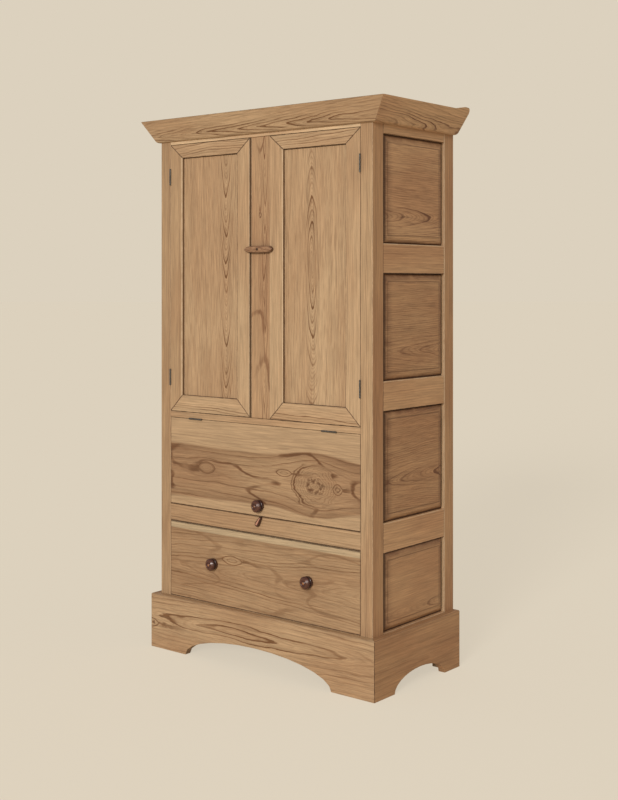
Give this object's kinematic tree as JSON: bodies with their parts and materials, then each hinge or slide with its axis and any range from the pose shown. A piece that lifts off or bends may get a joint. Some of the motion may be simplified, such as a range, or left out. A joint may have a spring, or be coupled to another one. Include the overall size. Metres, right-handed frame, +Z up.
{
  "type": "storage cabinet",
  "caption": "Tall pine press: panelled case with mitred doors over shelves, a lift-up flap, a drawer, bracket feet and a leaning cornice.",
  "frame": {"origin": "on the floor, under the middle of the whole cabinet's width and depth", "axes": "+Z up, +X to the right seen from the front, -Y towards the front"},
  "size_m": [1.1344, 0.5222, 1.97],
  "materials": {
    "pine_front": "waxed pine, satin",
    "pine_side": "waxed pine, satin",
    "pine_inside": "bare pine, dull",
    "knob_wood": "dark red-brown polish",
    "button_wood": "brown wood, satin",
    "iron": "dark iron, dull"
  },
  "bodies": {
    "case": {"back": "pine_inside", "case_bottom": "pine_inside", "catch_rail": "pine_front", "cornice_front": "pine_front", "cornice_left": "pine_side", "cornice_right": "pine_side", "cupboard_floor": "pine_front", "door_button_screw": "iron", "door_left_lower_hinge_fixed_leaf": "iron", "door_left_upper_hinge_fixed_leaf": "iron", "door_right_lower_hinge_fixed_leaf": "iron", "door_right_upper_hinge_fixed_leaf": "iron", "flap_floor": "pine_inside", "flap_left_hinge_fixed_leaf": "iron", "flap_right_hinge_fixed_leaf": "iron", "lower_shelf": "pine_inside", "mullion": "pine_front", "plinth_front": "pine_front", "plinth_left": "pine_side", "plinth_right": "pine_side", "side_frame_left": "pine_side", "side_frame_right": "pine_side", "side_panel_left_1": "pine_side", "side_panel_left_2": "pine_side", "side_panel_left_3": "pine_side", "side_panel_left_4": "pine_side", "side_panel_right_1": "pine_side", "side_panel_right_2": "pine_side", "side_panel_right_3": "pine_side", "side_panel_right_4": "pine_side", "top_board": "pine_inside", "top_rail": "pine_front", "upper_shelf": "pine_inside"},
    "door_left": {"door_left_bottom_rail": "pine_front", "door_left_free_stile": "pine_front", "door_left_hanging_stile": "pine_front", "door_left_lower_hinge_moving_leaf": "iron", "door_left_panel": "pine_front", "door_left_top_rail": "pine_front", "door_left_upper_hinge_moving_leaf": "iron"},
    "door_right": {"door_right_bottom_rail": "pine_front", "door_right_free_stile": "pine_front", "door_right_hanging_stile": "pine_front", "door_right_lower_hinge_moving_leaf": "iron", "door_right_panel": "pine_front", "door_right_top_rail": "pine_front", "door_right_upper_hinge_moving_leaf": "iron"},
    "flap": {"flap_board": "pine_front", "flap_knob": "knob_wood", "flap_left_hinge_moving_leaf": "iron", "flap_right_hinge_moving_leaf": "iron"},
    "drawer": {"drawer_back": "pine_inside", "drawer_bottom": "pine_inside", "drawer_front": "pine_front", "drawer_knob_left": "knob_wood", "drawer_knob_right": "knob_wood", "drawer_side_left": "pine_inside", "drawer_side_right": "pine_inside"},
    "door_button": {"door_button": "button_wood"},
    "flap_catch": {"flap_catch": "knob_wood"}
  },
  "joints": [
    {"name": "door_left_hinge", "type": "hinge", "parent": "case", "child": "door_left", "pos_m": [-0.4395, -0.22632, 1.38], "axis": [0, 0, -1], "range_deg": [0, 170]},
    {"name": "door_right_hinge", "type": "hinge", "parent": "case", "child": "door_right", "pos_m": [0.4395, -0.22632, 1.38], "axis": [0, 0, 1], "range_deg": [0, 170]},
    {"name": "flap_hinge", "type": "hinge", "parent": "case", "child": "flap", "pos_m": [0, -0.22632, 0.8595], "axis": [-1, 0, 0], "range_deg": [0, 90]},
    {"name": "drawer_slide", "type": "slide", "parent": "case", "child": "drawer", "axis": [0, -1, 0], "range_m": [0, 0.33]},
    {"name": "door_button_turn", "type": "hinge", "parent": "case", "child": "door_button", "pos_m": [0, -0.23032, 1.474], "axis": [0, 1, 0], "range_deg": [-90, 90]},
    {"name": "flap_catch_turn", "type": "hinge", "parent": "case", "child": "flap_catch", "pos_m": [-0.00615, -0.22922, 0.51288], "axis": [0, 1, 0], "range_deg": [-124, 56]}
  ]
}
